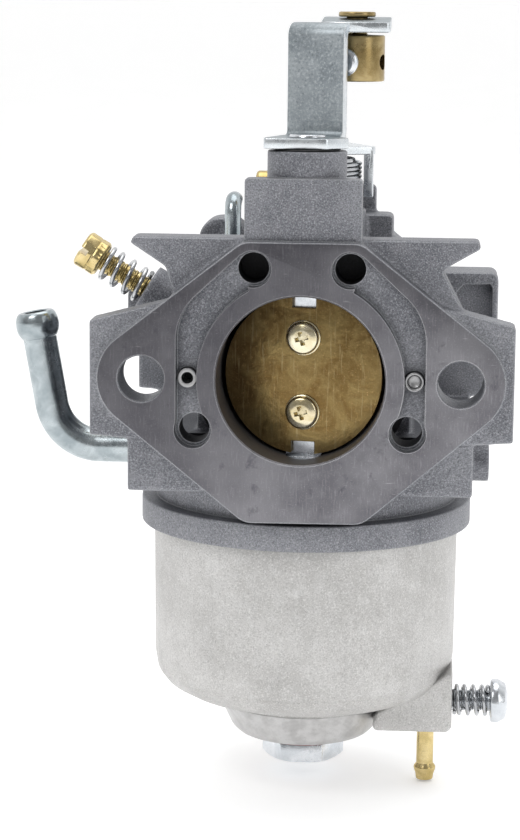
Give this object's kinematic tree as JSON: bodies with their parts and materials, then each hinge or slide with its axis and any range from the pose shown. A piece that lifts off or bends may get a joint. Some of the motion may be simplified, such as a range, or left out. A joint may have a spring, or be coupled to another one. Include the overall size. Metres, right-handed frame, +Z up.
{
  "type": "carburetor",
  "caption": "Small-engine float-bowl carburetor with choke and throttle butterflies, lever with cable clamp, mixture screw and fuel elbow.",
  "frame": {"origin": "on the bore axis, in the plane of the machined air-side flange face", "axes": "+Y along the bore towards the engine, +Z up towards the choke lever, +X to the right as seen from the air side"},
  "size_m": [0.0866, 0.0675, 0.1339],
  "materials": {
    "casting": "sand-textured grey die casting with a machined face",
    "bowl_casting": "light tumbled casting",
    "zinc": "bright zinc plate",
    "spring_wire": "drawn wire, zinc plated",
    "brass": "turned brass",
    "gold_chromate": "golden butterfly plate with faint stains",
    "yellow_zinc": "yellow passivated zinc",
    "jet_metal": "satin",
    "felt": "felt washer",
    "red_fibre": "pressed fibre washer",
    "black_rubber": "matte",
    "float_plastic": "moulded"
  },
  "bodies": {
    "carburetor_body": {"body": "casting", "body_plug": "jet_metal", "bowl_bolt": "zinc", "bowl_bolt_washer": "red_fibre", "bowl_gasket": "black_rubber", "choke_washer": "felt", "drain_nipple": "brass", "drain_screw_spring": "spring_wire", "float_bowl": "bowl_casting", "float_pin": "zinc", "fuel_elbow": "zinc", "idle_speed_spring": "spring_wire", "main_air_plug": "jet_metal", "main_jet": "brass", "main_nozzle": "brass", "mixture_screw_spring": "spring_wire", "needle_seat": "brass", "pilot_air_jet": "jet_metal", "pilot_jet": "brass", "throttle_return_spring": "spring_wire", "throttle_washer": "felt", "vent_tube": "zinc"},
    "choke": {"choke_shaft": "zinc", "choke_plate": "gold_chromate", "choke_plate_screw_upper": "yellow_zinc", "choke_plate_screw_lower": "yellow_zinc", "choke_lever": "zinc"},
    "cable_clamp": {"cable_clamp_swivel": "brass"},
    "clamp_screw": {"cable_clamp_screw": "zinc"},
    "throttle": {"throttle_shaft": "zinc", "throttle_plate": "brass", "throttle_plate_screw_upper": "yellow_zinc", "throttle_plate_screw_lower": "yellow_zinc", "throttle_lever": "zinc"},
    "mixture_screw": {"mixture_screw": "brass"},
    "idle_speed_screw": {"idle_speed_screw": "brass"},
    "drain_screw": {"drain_screw": "zinc"},
    "float": {"float": "float_plastic"},
    "inlet_needle": {"inlet_needle": "black_rubber"}
  },
  "joints": [
    {"name": "choke_turn", "type": "hinge", "parent": "carburetor_body", "child": "choke", "pos_m": [0.0003, 0.0087, 0], "axis": [0, 0, 1], "range_deg": [-77, 9]},
    {"name": "clamp_swivel", "type": "hinge", "parent": "choke", "child": "cable_clamp", "pos_m": [0.00765, 0.022, 0.0509], "axis": [0, 0, 1], "continuous": true},
    {"name": "clamp_screw_turn", "type": "hinge", "parent": "cable_clamp", "child": "clamp_screw", "pos_m": [0.00765, 0.022, 0.0509], "axis": [-0.309, -0.9511, 0], "range_deg": [-180, 720]},
    {"name": "throttle_turn", "type": "hinge", "parent": "carburetor_body", "child": "throttle", "pos_m": [0.0003, 0.047, 0], "axis": [0, 0, 1], "range_deg": [-76, 0], "stiffness_Nm_per_rad": 0.02, "springref_deg": 34.38},
    {"name": "mixture_screw_turn", "type": "hinge", "parent": "carburetor_body", "child": "mixture_screw", "pos_m": [-0.0276, 0.022, 0.0122], "axis": [-0.848, 0, 0.5299], "range_deg": [-540, 1080]},
    {"name": "idle_speed_screw_turn", "type": "hinge", "parent": "carburetor_body", "child": "idle_speed_screw", "pos_m": [-0.006, 0.0568, 0.0274], "axis": [-1, 0, 0], "range_deg": [-720, 1080]},
    {"name": "drain_screw_turn", "type": "hinge", "parent": "carburetor_body", "child": "drain_screw", "pos_m": [0.026, 0.024, -0.0594], "axis": [1, 0, 0], "range_deg": [0, 1440]},
    {"name": "float_swing", "type": "hinge", "parent": "carburetor_body", "child": "float", "pos_m": [-0.0003, 0.0515, -0.0274], "axis": [1, 0, 0], "range_deg": [-5, 0]},
    {"name": "needle_lift", "type": "slide", "parent": "carburetor_body", "child": "inlet_needle", "axis": [0, 0, 1], "range_m": [0, 0.0007]}
  ],
  "couplings": [
    {"joint": "needle_lift", "follows": "float_swing", "m_per_rad": -0.008}
  ]
}
